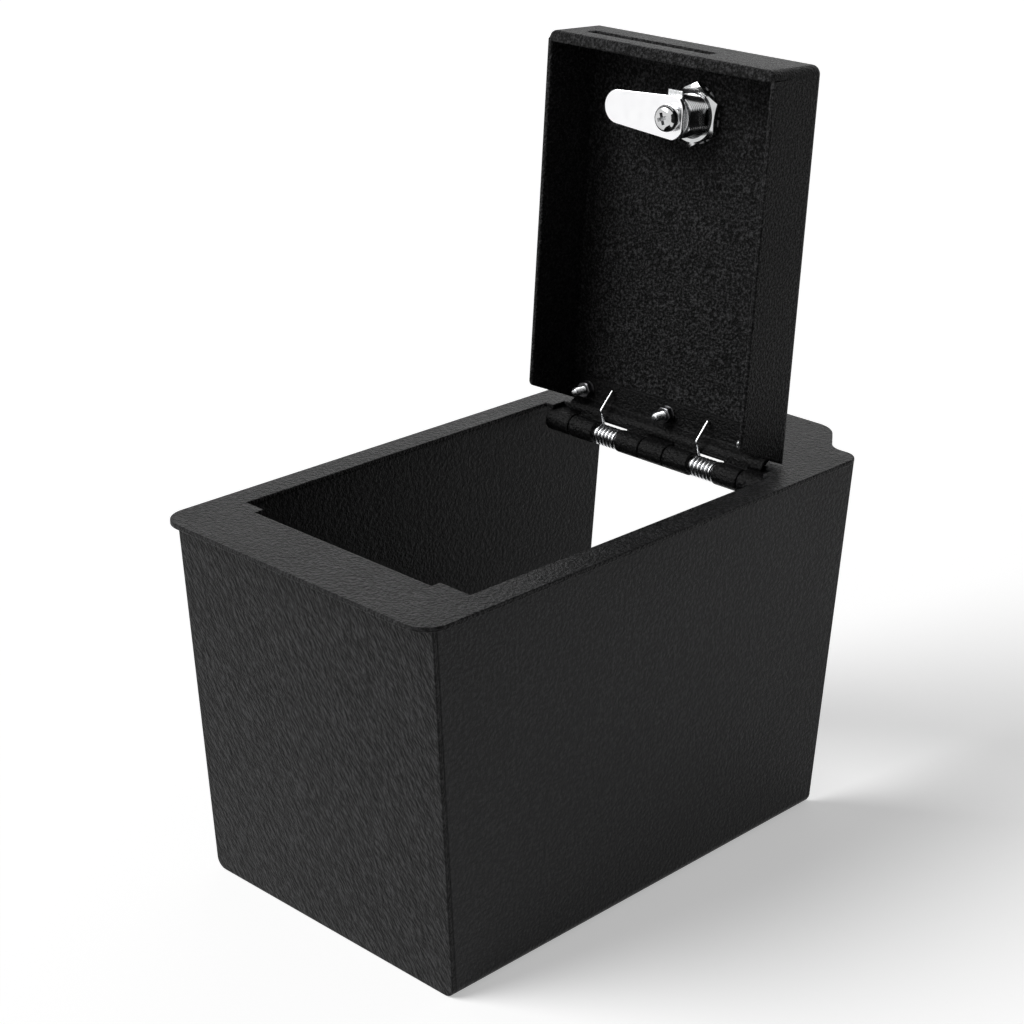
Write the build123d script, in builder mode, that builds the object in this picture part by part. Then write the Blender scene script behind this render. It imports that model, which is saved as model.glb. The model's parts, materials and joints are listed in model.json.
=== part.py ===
from build123d import *
import os
from math import cos, pi, radians, sin, sqrt, tan

# Console safe, in millimetres. +Z is up, X is the width, the lock end is at -Y and the hinge end at +Y.
# The origin is on the ground at the middle of the deck's width and length. The lid stands open.

# Sheet metal box
sheet = 2.2                 # steel sheet of the box, deck and lid, with its coating
box_height = 171.4          # ground to the deck's upper face
box_width_top = 152.8
box_width_bottom = 149.4
bottom_bend = 5.0           # outer radius of the long bottom bends
side_length_top = 261.8     # side walls along the deck
front_rake = 12.9           # how far the front wall leans in from top to bottom
rear_rake = 15.4

# Deck
deck_width = 160.0
deck_length = 290.5
deck_corner = 12.0
front_overhang = 7.1        # deck's front edge ahead of the front wall
tongue_width_rear = 95.2    # across the sharp corners, before they are rounded
tongue_width_root = 127.2
tongue_length = 21.5
shoulder_corner = 8.0
tongue_fillet = 10.0
tongue_corner = 15.0
opening_width = 134.4
opening_front = 36.6        # deck's front edge to the opening
hinge_opening_width = 126.0
hinge_opening_length = 8.0  # the narrower stretch beside the hinge
recess_left = 56.0
recess_right = 50.0
recess_depth = 2.6

# Hinge
hinge_from_front = 221.8    # deck's front edge to the hinge pin
barrel_diameter = 10.4
leaf = 2.0                  # hinge leaf sheet
hinge_length = 130.0
bay_count = 9
end_gap = 0.2               # each end of a knuckle to its bay's border
pin_fit = 0.05              # radial running fit
pin_chamfer = 0.5
fixed_leaf_width = 30.0
fixed_leaf_corner = 5.0
lid_leaf_reach = 22.5       # from the pin to the lid leaf's far edge
joggle_lift = 1.2           # bend of the lid leaf above the deck
joggle_run = 2.4
lid_leaf_length = 116.0
opening_angle = 93.5        # from closed to open

# Torsion springs
wire = 1.4
coil_diameter = 9.8         # outside
coil_turns = 6
leg_lean = 23.0             # first stretch of a leg, away from its leaf
leg_kink_reach = 10.9
lid_leg_reach = 19.2
fixed_leg_reach = 16.5
leg_kink_radius = 2.5

# Lid
lid_width = 127.6
lid_reach = 184.0           # from the pin to the lid's front face
lid_depth = 32.0
lid_proud = 4.8             # closed lid above the deck
lid_corner = 4.0
lid_edge = 3.0              # bend between the panel and its walls
front_lip = 5.5             # front wall's rim folded in, from the wall's outer face
lid_draft = 0.5             # degrees
side_wall_start = 20.5      # from the pin to the side walls' free rear corner
side_wall_corner = 3.0
stop_gap = 0.3              # open lid's rear edge above the deck
swing_gap = 0.5             # between what swings and the opening's edge
seat_gap = 0.1

# Hinge bolts
bolt_spacing = 49.5
bolt_shift = 1.5            # the row of bolts off the lid's middle, to the left
bolt_reach = 16.4           # from the pin
bolt_diameter = 4.0
bolt_clearance = 0.25
bolt_head_diameter = 9.0
bolt_head_height = 1.8
bolt_head_edge = 0.4        # height of the dome head's rim
bolt_tip = 6.2              # thread standing past the nut
nut_across_flats = 7.0
nut_height = 3.0
washer_diameter = 8.0
washer_thickness = 0.6
thread_gap = 0.05

# Cam lock
lock_from_front = 30.4
lock_diameter = 19.0
lock_flats = 16.4
lock_clearance = 0.2
lock_head_diameter = 22.0
lock_head_height = 2.6
lock_barrel_reach = 16.9    # from the lid's outer face to the barrel's end
lock_nut_flats = 25.0
lock_nut_height = 3.4
lock_nut_turn = 27.0        # degrees, as it was tightened
tooth_washer_diameter = 26.0
tooth_washer_thickness = 0.8
tooth_count = 18
tooth_notch = 1.4
plug_diameter = 12.0
plug_face_depth = 0.6
turn_gap = 0.3              # barrel's end to the stop washer
square = 8.0                # plug's square tail
square_fit = 0.1
stop_washer_diameter = 17.0
stop_washer_thickness = 1.0
stop_lug_width = 8.0
stop_lug_reach = 11.8        # from the plug's axis
cam = 2.0                   # cam sheet
cam_length = 38.5           # pivot to tip
cam_root_width = 19.4
cam_root_reach = 6.6        # pivot to the end behind it
cam_root_corner = 6.0
cam_tip_width = 15.2
cam_chamfer = 0.3
cam_overhang = 0.4          # end of the plug's square below the cam's face
lock_washer_diameter = 11.0
lock_washer_thickness = 1.0
screw_diameter = 5.0
screw_length = 9.0
screw_head_diameter = 12.0
screw_head_height = 4.6
screw_recess = 5.6
screw_recess_width = 1.3
screw_recess_depth = 2.2
keyway_width = 2.2
keyway_height = 7.6
wafer_count = 5
wafer = 1.0                 # wafer sheet
wafer_pitch = 2.2
wafer_width = 7.0
wafer_fit = 0.1
first_wafer = 3.0           # behind the plug's face
wafer_groove = 1.0          # wafers' room in the barrel's bore

# Slot and strike
slot_left = 50.0
slot_right = 19.0
slot_width = 6.0
strike_gap = 0.4            # between the strike lip and the locked cam
strike_bend = 2.9           # outer radius where the lip turns down
strike_corner = 2.0

# Places worked out from the sizes above
front_y = -deck_length / 2
rear_y = deck_length / 2
wall_front_y = front_y + front_overhang
wall_rear_y = wall_front_y + side_length_top
shoulder_y = rear_y - tongue_length
deck_under = box_height - sheet
barrel_radius = barrel_diameter / 2
bore_radius = barrel_radius - leaf
pin_radius = bore_radius - pin_fit
hinge_y = front_y + hinge_from_front
hinge_z = deck_under - barrel_radius
bay = hinge_length / bay_count
lean = opening_angle - 90
panel_out = lid_proud + sheet + barrel_radius
panel_in = panel_out - sheet
deck_above_pin = sheet + barrel_radius
leaf_swing_back = barrel_radius * cos(radians(lean)) + deck_above_pin * sin(radians(lean))
opening_front_y = front_y + opening_front
opening_rear_y = hinge_y + leaf_swing_back + swing_gap
panel_rear = (deck_above_pin + stop_gap + panel_out * sin(radians(lean))) / cos(radians(lean))
window_top = (barrel_radius * (1 + sin(radians(lean))) + swing_gap / 2) / cos(radians(lean))
lock_reach = lid_reach - lock_from_front
cam_face = lock_barrel_reach + turn_gap + stop_washer_thickness
cam_middle = cam_face + cam / 2
lock_turn_face = lock_barrel_reach + turn_gap
bolt_hole = bolt_diameter / 2 + bolt_clearance
bolt_places = [(side * bolt_spacing - bolt_shift, bolt_reach) for side in (-1, 0, 1)]
strike_drop = cam_face - panel_out + deck_above_pin - strike_gap

# Working planes: the pin's section, the leaning lid seen square on, and the lid's own section
pin_section = Plane(origin=(0, hinge_y, hinge_z), x_dir=(0, 1, 0), z_dir=(1, 0, 0))
lid_up = (0, sin(radians(lean)), cos(radians(lean)))
lid_in = (0, -cos(radians(lean)), sin(radians(lean)))
lid_plane = Plane(origin=(0, hinge_y, hinge_z), x_dir=(1, 0, 0), z_dir=lid_in)
lid_section = Plane(origin=(0, hinge_y, hinge_z), x_dir=lid_up, z_dir=(1, 0, 0))
outer_face = lid_plane.offset(-panel_out)
lock_plane = Plane(
    origin=outer_face.from_local_coords((0, lock_reach, 0)), x_dir=(1, 0, 0), z_dir=lid_in
)


def bay_centre(number):
    """X of the middle of a hinge bay, counted from the left."""
    return (number - 0.5) * bay - hinge_length / 2


def wall_profile(inset):
    """Outline of the box across its width, drawn in from the outer face by inset."""
    with BuildSketch(Plane.XZ.offset(-wall_front_y)) as profile:
        with BuildLine():
            flare = (box_width_top - box_width_bottom) / 2 / deck_under
            top = box_width_top / 2 - inset
            bottom = box_width_bottom / 2 - inset + flare * inset
            Polyline((-top, deck_under), (-bottom, inset), (bottom, inset), (top, deck_under), close=True)
        make_face()
        corners = profile.vertices().group_by(Axis.Y)[0]
        fillet(corners, bottom_bend - inset)
    return profile.sketch


def side_view(front_set_back):
    """The raked side view of the box, its front edge moved back square to itself."""
    slant = sqrt(deck_under**2 + front_rake**2) / deck_under * front_set_back
    with BuildSketch(Plane.YZ) as view:
        with BuildLine():
            Polyline(
                (wall_front_y + slant, deck_under),
                (wall_rear_y, deck_under),
                (wall_rear_y - rear_rake, 0),
                (wall_front_y + front_rake + slant, 0),
                close=True,
            )
        make_face()
    return view.sketch


# Side wrap: left side, floor and right side bent from one sheet
with BuildPart() as side_wrap:
    extrude(wall_profile(0), amount=-side_length_top)
    extrude(wall_profile(sheet), amount=-side_length_top, mode=Mode.SUBTRACT)
    extrude(side_view(sheet), amount=box_width_top, both=True, mode=Mode.INTERSECT)

# Front wall: a raked plate welded across the front of the wrap
with BuildPart() as front_wall:
    extrude(wall_profile(0), amount=-side_length_top)
    extrude(side_view(0), amount=box_width_top, both=True, mode=Mode.INTERSECT)
    extrude(side_view(sheet), amount=box_width_top, both=True, mode=Mode.SUBTRACT)

# Deck: flat top plate with the lid's opening and the strike lip turned down at its front edge
strike_y = opening_front_y - recess_depth
with BuildPart() as top_deck:
    with BuildSketch(Plane.XY.offset(deck_under)):
        with BuildLine():
            Polyline(
                (-deck_width / 2, front_y),
                (deck_width / 2, front_y),
                (deck_width / 2, shoulder_y),
                (tongue_width_root / 2, shoulder_y),
                (tongue_width_rear / 2, rear_y),
                (-tongue_width_rear / 2, rear_y),
                (-tongue_width_root / 2, shoulder_y),
                (-deck_width / 2, shoulder_y),
                close=True,
            )
        make_face()
    extrude(amount=sheet)
    uprights = top_deck.edges().filter_by(Axis.Z)
    fillet(uprights.group_by(Axis.Y)[0], deck_corner)
    uprights = top_deck.edges().filter_by(Axis.Z)
    fillet(uprights.group_by(Axis.Y)[-1], tongue_corner)
    for shoulder_x, radius in ((deck_width / 2, shoulder_corner), (tongue_width_root / 2, tongue_fillet)):
        for side in (-1, 1):
            uprights = top_deck.edges().filter_by(Axis.Z)
            fillet(uprights.sort_by_distance((side * shoulder_x, shoulder_y, deck_under))[0], radius)
    with BuildSketch(Plane.XY.offset(deck_under)):
        with BuildLine():
            wide = opening_width / 2
            narrow = hinge_opening_width / 2
            narrow_y = opening_rear_y - hinge_opening_length
            Polyline(
                (-wide, opening_front_y),
                (-recess_left, opening_front_y),
                (-recess_left, strike_y - strike_bend),
                (recess_right, strike_y - strike_bend),
                (recess_right, opening_front_y),
                (wide, opening_front_y),
                (wide, narrow_y),
                (narrow, narrow_y),
                (narrow, opening_rear_y),
                (-narrow, opening_rear_y),
                (-narrow, narrow_y),
                (-wide, narrow_y),
                close=True,
            )
        make_face()
    extrude(amount=sheet, mode=Mode.SUBTRACT)
    with BuildSketch(Plane.YZ.offset(-recess_left)):
        with BuildLine():
            FilletPolyline(
                (strike_y - 2 * strike_bend, box_height - sheet / 2),
                (strike_y - sheet / 2, box_height - sheet / 2),
                (strike_y - sheet / 2, box_height - strike_drop),
                radius=strike_bend - sheet / 2,
            )
        trace(line_width=sheet)
    extrude(amount=recess_left + recess_right)
    lip_edges = top_deck.edges().filter_by(Axis.Y).group_by(Axis.Z)[0]
    fillet(lip_edges, strike_corner)

# Fixed hinge leaf: welded under the deck, three of the knuckles
fixed_bays = (1, 5, 9)
lid_bays = (2, 4, 6, 8)
spring_bays = (3, 7)
with BuildPart() as hinge_fixed_leaf:
    with BuildSketch(pin_section.offset(-hinge_length / 2)):
        with Locations((0, barrel_radius)):
            Rectangle(leaf_swing_back + swing_gap + fixed_leaf_width, leaf, align=(Align.MIN, Align.MAX))
    extrude(amount=hinge_length)
    far_edges = hinge_fixed_leaf.edges().filter_by(Axis.Z).group_by(Axis.Y)[-1]
    fillet(far_edges, fixed_leaf_corner)
    for number in lid_bays + spring_bays:
        with BuildSketch(pin_section.offset(bay_centre(number) - bay / 2)):
            with Locations((0, barrel_radius)):
                Rectangle(2 * (leaf_swing_back + swing_gap), 3 * leaf)
        extrude(amount=bay, mode=Mode.SUBTRACT)
    for number in fixed_bays:
        with BuildSketch(pin_section.offset(bay_centre(number) - bay / 2 + end_gap)):
            Circle(barrel_radius)
            Circle(bore_radius, mode=Mode.SUBTRACT)
        extrude(amount=bay - 2 * end_gap)
    with BuildSketch(pin_section.offset(-hinge_length / 2)):
        Circle(bore_radius)
    extrude(amount=hinge_length, mode=Mode.SUBTRACT)
    for number in fixed_bays:
        for side in (-1, 1):
            edge_x = bay_centre(number) + side * (bay / 2 - end_gap / 2)
            with BuildSketch(pin_section.offset(edge_x - end_gap / 2)):
                with Locations((0, barrel_radius)):
                    Rectangle(2 * (leaf_swing_back + swing_gap), 3 * leaf)
            extrude(amount=end_gap, mode=Mode.SUBTRACT)

# Hinge pin
with BuildPart() as hinge_pin:
    with BuildSketch(pin_section.offset(-hinge_length / 2)):
        Circle(pin_radius)
    extrude(amount=hinge_length)
    chamfer(hinge_pin.edges().filter_by(GeomType.CIRCLE), pin_chamfer)

# Lid hinge leaf: four knuckles, joggled back over the deck's edge and flat on the lid's panel
leaf_back = barrel_radius - leaf / 2
leaf_on_panel = panel_in - leaf / 2
joggle_start = deck_above_pin + joggle_lift
joggle_end = joggle_start + joggle_run
with BuildPart() as lid_hinge_leaf:
    with BuildSketch(lid_section.offset(-lid_leaf_length / 2)):
        with BuildLine():
            FilletPolyline(
                (0, -leaf_back),
                (joggle_start, -leaf_back),
                (joggle_end, -leaf_on_panel),
                (lid_leaf_reach, -leaf_on_panel),
                radius=leaf,
            )
        trace(line_width=leaf)
    extrude(amount=lid_leaf_length)
    window = leaf_back * 4
    for number in fixed_bays + spring_bays:
        with BuildSketch(lid_section.offset(bay_centre(number) - bay / 2)):
            with Locations((window_top, -leaf_back)):
                Rectangle(window, window, align=(Align.MAX, Align.CENTER))
        extrude(amount=bay, mode=Mode.SUBTRACT)
    for number in lid_bays:
        for side in (-1, 1):
            edge_x = bay_centre(number) + side * (bay / 2 - end_gap / 2)
            with BuildSketch(lid_section.offset(edge_x - end_gap / 2)):
                with Locations((window_top, -leaf_back)):
                    Rectangle(window, window, align=(Align.MAX, Align.CENTER))
            extrude(amount=end_gap, mode=Mode.SUBTRACT)
        with BuildSketch(lid_section.offset(bay_centre(number) - bay / 2 + end_gap)):
            Circle(barrel_radius)
            Circle(bore_radius, mode=Mode.SUBTRACT)
        extrude(amount=bay - 2 * end_gap)
    with BuildSketch(outer_face):
        with Locations(*bolt_places):
            Circle(bolt_hole)
    extrude(amount=panel_out, mode=Mode.SUBTRACT)

# Torsion springs: wound on the pin, one leg under the fixed leaf, the other up the lid leaf
coil_radius = (coil_diameter - wire) / 2
coil_length = bay - 2 * end_gap - wire - 2 * seat_gap
lean_in = radians(leg_lean)


def leg_points(reach, leaf_face):
    """A leg in its leaf's section: where it leaves the coil, its kink and its tip on the leaf."""
    leaves = (coil_radius * sin(lean_in), -coil_radius * cos(lean_in))
    kink = (leg_kink_reach, leaves[1] + (leg_kink_reach - leaves[0]) * tan(lean_in))
    tip = (reach, -(leaf_face - wire / 2 - seat_gap))
    return leaves, kink, tip


def smooth_pair(start, start_way, end, end_way):
    """Meeting point and direction of the two arcs that join two points with their directions."""
    chord = end - start
    ways = start_way + end_way
    square_term = 2 - 2 * start_way.dot(end_way)
    line_term = 2 * chord.dot(ways)
    root = sqrt(line_term**2 + 4 * square_term * chord.dot(chord))
    handle = (root - line_term) / (2 * square_term)
    first = start + start_way * handle
    last = end - end_way * handle
    return (first + last) * 0.5, (last - first).normalized()


def wind_spring(left, name):
    """One spring whose coil starts at X = left, in the row's frame."""
    right = left + coil_length
    leaves, kink, tip = leg_points(lid_leg_reach, panel_in - leaf)
    lid_leg = [lid_section.from_local_coords((u, n, left)) for u, n in (leaves, kink, tip)]
    _, low_kink, _ = leg_points(fixed_leg_reach, bore_radius)
    leaf_under = -(bore_radius - wire / 2 - seat_gap)
    fixed_tip = pin_section.from_local_coords((fixed_leg_reach, -leaf_under, right))
    fixed_kink = pin_section.from_local_coords((low_kink[0], -low_kink[1], right))

    start_angle = pi / 2 - lean_in
    end_angle = lean_in - radians(lean) + 2 * pi * coil_turns

    def on_coil(share):
        angle = start_angle + (end_angle - start_angle) * share
        x = right + (left - right) * share
        return pin_section.from_local_coords(
            (coil_radius * cos(angle), coil_radius * sin(angle), x)
        )

    def way_on_coil(share):
        angle = start_angle + (end_angle - start_angle) * share
        climb = (left - right) / (end_angle - start_angle) / coil_radius
        if share in (0, 1):
            climb = 0
        way = Vector(climb, -sin(angle), cos(angle))
        return way.normalized()

    quarters = round((end_angle - start_angle) / (pi / 2))
    points = [on_coil(step / quarters) for step in range(quarters + 1)]
    ways = [way_on_coil(step / quarters) for step in range(quarters + 1)]
    with BuildPart() as spring:
        with BuildLine() as path:
            FilletPolyline(fixed_tip, fixed_kink, points[0], radius=leg_kink_radius)
            for step in range(quarters):
                middle, way = smooth_pair(points[step], ways[step], points[step + 1], ways[step + 1])
                TangentArc(points[step], middle, tangent=ways[step])
                TangentArc(middle, points[step + 1], tangent=way)
            FilletPolyline(points[-1], lid_leg[1], lid_leg[2], radius=leg_kink_radius)
        wound = path.wires()[0]
        with BuildSketch(Plane(origin=wound @ 0, z_dir=wound % 0)):
            Circle(wire / 2)
        sweep(path=wound)

    samples = 720
    along = [wound @ (index / samples) for index in range(samples + 1)]
    apart = samples * 3 * wire / wound.length
    gaps = [
        (along[first] - along[second]).length - wire
        for first in range(samples + 1)
        for second in range(first + 1, samples + 1)
        if second - first > apart
    ]
    filled = spring.part.volume / (pi * wire**2 / 4 * wound.length)
    print(f"{name}: wire {wound.length:.1f} mm, least gap {min(gaps):.2f} mm, volume ratio {filled:.4f}")
    return spring


spring_left, spring_right = [
    wind_spring(bay_centre(number) - coil_length / 2, f"spring in bay {number}") for number in spring_bays
]

# Lid shell: pressed tray, open at the hinge end, its side walls cut back on a slant there,
# its front wall's rim folded in
rim = lid_depth - panel_out
lip_seat = lid_depth * tan(radians(lid_draft)) + 0.6 * sheet
slot_reach = cam_middle - panel_out
with BuildPart() as lid_shell:
    with BuildSketch(outer_face):
        with Locations((0, panel_rear)):
            Rectangle(lid_width, lid_reach - panel_rear, align=(Align.CENTER, Align.MIN))
    extrude(amount=lid_depth, taper=lid_draft)
    upright = lid_shell.edges().filter_by(lambda edge: abs((edge % 0.5).dot(Vector(lid_in))) > 0.9)
    fillet(upright.sort_by(Axis(lid_plane.origin, lid_up))[-2:], lid_corner)
    panel_face = lid_shell.faces().sort_by(Axis(lid_plane.origin, lid_in))[0]
    round_edges = panel_face.edges().sort_by(Axis(lid_plane.origin, lid_up))[1:]
    fillet(round_edges, lid_edge)
    rim_face = lid_shell.faces().sort_by(Axis(lid_plane.origin, lid_in))[-1]
    rear_face = lid_shell.faces().sort_by(Axis(lid_plane.origin, lid_up))[0]
    offset(amount=-sheet, openings=[rim_face, rear_face])
    with BuildSketch(lid_section):
        with BuildLine():
            Polyline(
                (panel_rear, -panel_out),
                (side_wall_start, rim),
                (side_wall_start, rim + sheet),
                (0, rim + sheet),
                (0, -panel_out),
                close=True,
            )
        make_face()
    extrude(amount=lid_width, both=True, mode=Mode.SUBTRACT)
    for side in (-1, 1):
        wall_corner = lid_section.from_local_coords((side_wall_start, rim, side * (lid_width - sheet) / 2))
        fillet(lid_shell.edges().filter_by(Axis.X).sort_by_distance(wall_corner)[0], side_wall_corner)
    with BuildSketch(lid_plane.offset(rim - sheet)):
        with Locations((0, lid_reach - front_lip)):
            Rectangle(lid_width - 2 * lip_seat, front_lip - lip_seat, align=(Align.CENTER, Align.MIN))
    extrude(amount=sheet)
    with BuildSketch(lid_plane.offset(slot_reach - slot_width / 2)):
        with Locations(((slot_right - slot_left) / 2, lid_reach)):
            Rectangle(slot_left + slot_right, 6 * sheet)
    extrude(amount=slot_width, mode=Mode.SUBTRACT)
    with BuildSketch(outer_face):
        with Locations((0, lock_reach)):
            Circle(lock_diameter / 2 + lock_clearance)
            Rectangle(lock_flats + 2 * lock_clearance, lock_diameter * 2, mode=Mode.INTERSECT)
        with Locations(*bolt_places):
            Circle(bolt_hole)
    extrude(amount=2 * sheet, mode=Mode.SUBTRACT)

# Hinge bolts: dome heads on the lid's outer face, each with a washer and a nut on the leaf
bolt_stack = sheet + leaf + washer_thickness + nut_height
with BuildPart() as hinge_bolts:
    with BuildSketch(outer_face):
        with Locations(*bolt_places):
            Circle(bolt_head_diameter / 2)
    extrude(amount=-bolt_head_height)
    domes = hinge_bolts.faces().filter_by(GeomType.PLANE).sort_by(Axis(lid_plane.origin, lid_in))[:3]
    fillet(domes.edges(), bolt_head_height - bolt_head_edge)
    with BuildSketch(outer_face):
        with Locations(*bolt_places):
            Circle(bolt_diameter / 2)
    extrude(amount=bolt_stack + bolt_tip)
    tips = hinge_bolts.faces().filter_by(GeomType.PLANE).sort_by(Axis(lid_plane.origin, lid_in))[-3:]
    fillet(tips.edges(), bolt_diameter / 4)

with BuildPart() as hinge_washers:
    with BuildSketch(outer_face.offset(sheet + leaf)):
        with Locations(*bolt_places):
            Circle(washer_diameter / 2)
            Circle(bolt_hole, mode=Mode.SUBTRACT)
    extrude(amount=washer_thickness)

with BuildPart() as hinge_nuts:
    with BuildSketch(outer_face.offset(sheet + leaf + washer_thickness)):
        with Locations(*bolt_places):
            RegularPolygon(nut_across_flats / 2, 6, major_radius=False)
            Circle(bolt_diameter / 2 + thread_gap, mode=Mode.SUBTRACT)
    extrude(amount=nut_height)

# Lock housing: round head outside the lid, barrel with two flats through it
plug_bore = plug_diameter / 2 + pin_fit
with BuildPart() as lock_housing:
    with BuildSketch(lock_plane):
        Circle(lock_head_diameter / 2)
    extrude(amount=-lock_head_height)
    fillet(lock_housing.edges().sort_by(Axis(lid_plane.origin, lid_in))[0], lock_head_height / 3)
    with BuildSketch(lock_plane):
        Circle(lock_diameter / 2)
        Rectangle(lock_flats, lock_diameter * 2, mode=Mode.INTERSECT)
    extrude(amount=lock_barrel_reach)
    with BuildSketch(lock_plane.offset(-lock_head_height)):
        Circle(plug_bore)
    extrude(amount=lock_head_height + lock_barrel_reach, mode=Mode.SUBTRACT)
    with BuildSketch(lock_plane):
        Rectangle(wafer_width + 4 * wafer_fit, plug_diameter + 2 * wafer_groove)
    extrude(amount=lock_barrel_reach - wafer_groove, mode=Mode.SUBTRACT)

with BuildPart() as lock_tooth_washer:
    with BuildSketch(lock_plane.offset(sheet)):
        Circle(tooth_washer_diameter / 2)
        Circle(lock_diameter / 2 + lock_clearance, mode=Mode.SUBTRACT)
        with PolarLocations(tooth_washer_diameter / 2, tooth_count):
            Rectangle(tooth_notch * 2, tooth_notch, mode=Mode.SUBTRACT)
    extrude(amount=tooth_washer_thickness)

with BuildPart() as lock_nut:
    with BuildSketch(lock_plane.offset(sheet + tooth_washer_thickness)):
        RegularPolygon(lock_nut_flats / 2, 6, major_radius=False, rotation=lock_nut_turn)
        Circle(lock_diameter / 2 + thread_gap, mode=Mode.SUBTRACT)
    extrude(amount=lock_nut_height)

# Lock plug: cylinder with the keyway and wafer slots, its square tail carrying stop washer and cam
plug_outer = plug_face_depth - lock_head_height
screw_seat = cam_face + cam + lock_washer_thickness
wafer_depths = [plug_outer + first_wafer + index * wafer_pitch for index in range(wafer_count)]
with BuildPart() as lock_plug:
    with BuildSketch(lock_plane.offset(plug_outer)):
        Circle(plug_diameter / 2)
    extrude(amount=lock_barrel_reach - plug_outer)
    with BuildSketch(lock_plane.offset(lock_barrel_reach)):
        Rectangle(square, square)
    extrude(amount=cam_face + cam - cam_overhang - lock_barrel_reach)
    with BuildSketch(lock_plane.offset(plug_outer)):
        Rectangle(keyway_width, keyway_height)
    extrude(amount=first_wafer + wafer_count * wafer_pitch, mode=Mode.SUBTRACT)
    for depth in wafer_depths:
        with BuildSketch(lock_plane.offset(depth - wafer_fit)):
            Rectangle(wafer_width + 2 * wafer_fit, plug_diameter)
        extrude(amount=wafer + 2 * wafer_fit, mode=Mode.SUBTRACT)
    with BuildSketch(lock_plane.offset(screw_seat - screw_length - wafer_fit)):
        Circle(screw_diameter / 2 + thread_gap)
    extrude(amount=screw_length, mode=Mode.SUBTRACT)

with BuildPart() as lock_wafers:
    for depth in wafer_depths:
        with BuildSketch(lock_plane.offset(depth)):
            Circle(plug_diameter / 2)
            Rectangle(wafer_width, plug_diameter, mode=Mode.INTERSECT)
            Rectangle(keyway_width + 2 * wafer_fit, keyway_height / 2, mode=Mode.SUBTRACT)
        extrude(amount=wafer)

with BuildPart() as stop_washer:
    with BuildSketch(lock_plane.offset(lock_turn_face)):
        Circle(stop_washer_diameter / 2)
        Rectangle(stop_lug_width, stop_lug_reach, align=(Align.CENTER, Align.MIN))
        Rectangle(square + 2 * square_fit, square + 2 * square_fit, mode=Mode.SUBTRACT)
    extrude(amount=stop_washer_thickness)

with BuildPart() as lock_cam:
    with BuildSketch(lock_plane.offset(cam_face)):
        with BuildLine():
            CenterArc((cam_tip_width / 2 - cam_length, 0), cam_tip_width / 2, 0, 360)
            for side in (-1, 1):
                corner_up = side * (cam_root_width / 2 - cam_root_corner)
                CenterArc((cam_root_reach - cam_root_corner, corner_up), cam_root_corner, 0, 360)
        make_hull()
        Rectangle(square + 2 * square_fit, square + 2 * square_fit, mode=Mode.SUBTRACT)
    extrude(amount=cam)
    top_face = lock_cam.faces().filter_by(GeomType.PLANE).sort_by(Axis(lid_plane.origin, lid_in))[-1]
    chamfer(top_face.outer_wire().edges(), cam_chamfer)

with BuildPart() as cam_lock_washer:
    with BuildSketch(lock_plane.offset(cam_face + cam)):
        Circle(lock_washer_diameter / 2)
        Circle(screw_diameter / 2 + 4 * thread_gap, mode=Mode.SUBTRACT)
    extrude(amount=lock_washer_thickness)

with BuildPart() as cam_screw:
    with BuildSketch(lock_plane.offset(screw_seat)):
        Circle(screw_head_diameter / 2)
    extrude(amount=screw_head_height)
    fillet(cam_screw.edges().sort_by(Axis(lid_plane.origin, lid_in))[-1], screw_head_height / 3)
    with BuildSketch(lock_plane.offset(screw_seat + screw_head_height)):
        Rectangle(screw_recess, screw_recess_width)
        Rectangle(screw_recess_width, screw_recess)
    extrude(amount=-screw_recess_depth, mode=Mode.SUBTRACT)
    with BuildSketch(lock_plane.offset(screw_seat)):
        Circle(screw_diameter / 2)
    extrude(amount=-(screw_length - 2 * wafer_fit))

pieces = {
    "side_wrap": side_wrap,
    "front_wall": front_wall,
    "top_deck": top_deck,
    "hinge_fixed_leaf": hinge_fixed_leaf,
    "hinge_pin": hinge_pin,
    "torsion_spring_left": spring_left,
    "torsion_spring_right": spring_right,
    "lid_shell": lid_shell,
    "lid_hinge_leaf": lid_hinge_leaf,
    "hinge_bolts": hinge_bolts,
    "hinge_washers": hinge_washers,
    "hinge_nuts": hinge_nuts,
    "lock_housing": lock_housing,
    "lock_tooth_washer": lock_tooth_washer,
    "lock_nut": lock_nut,
    "lock_plug": lock_plug,
    "lock_wafers": lock_wafers,
    "stop_washer": stop_washer,
    "lock_cam": lock_cam,
    "cam_lock_washer": cam_lock_washer,
    "cam_screw": cam_screw,
}
os.makedirs("parts", exist_ok=True)
for name, made in pieces.items():
    made.part.label = name
    export_step(made.part, f"parts/{name}.step")
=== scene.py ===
import json
from math import atan2, cos, hypot, pi, radians, sin, sqrt, tan

import bpy
from mathutils import Matrix, Vector


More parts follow.
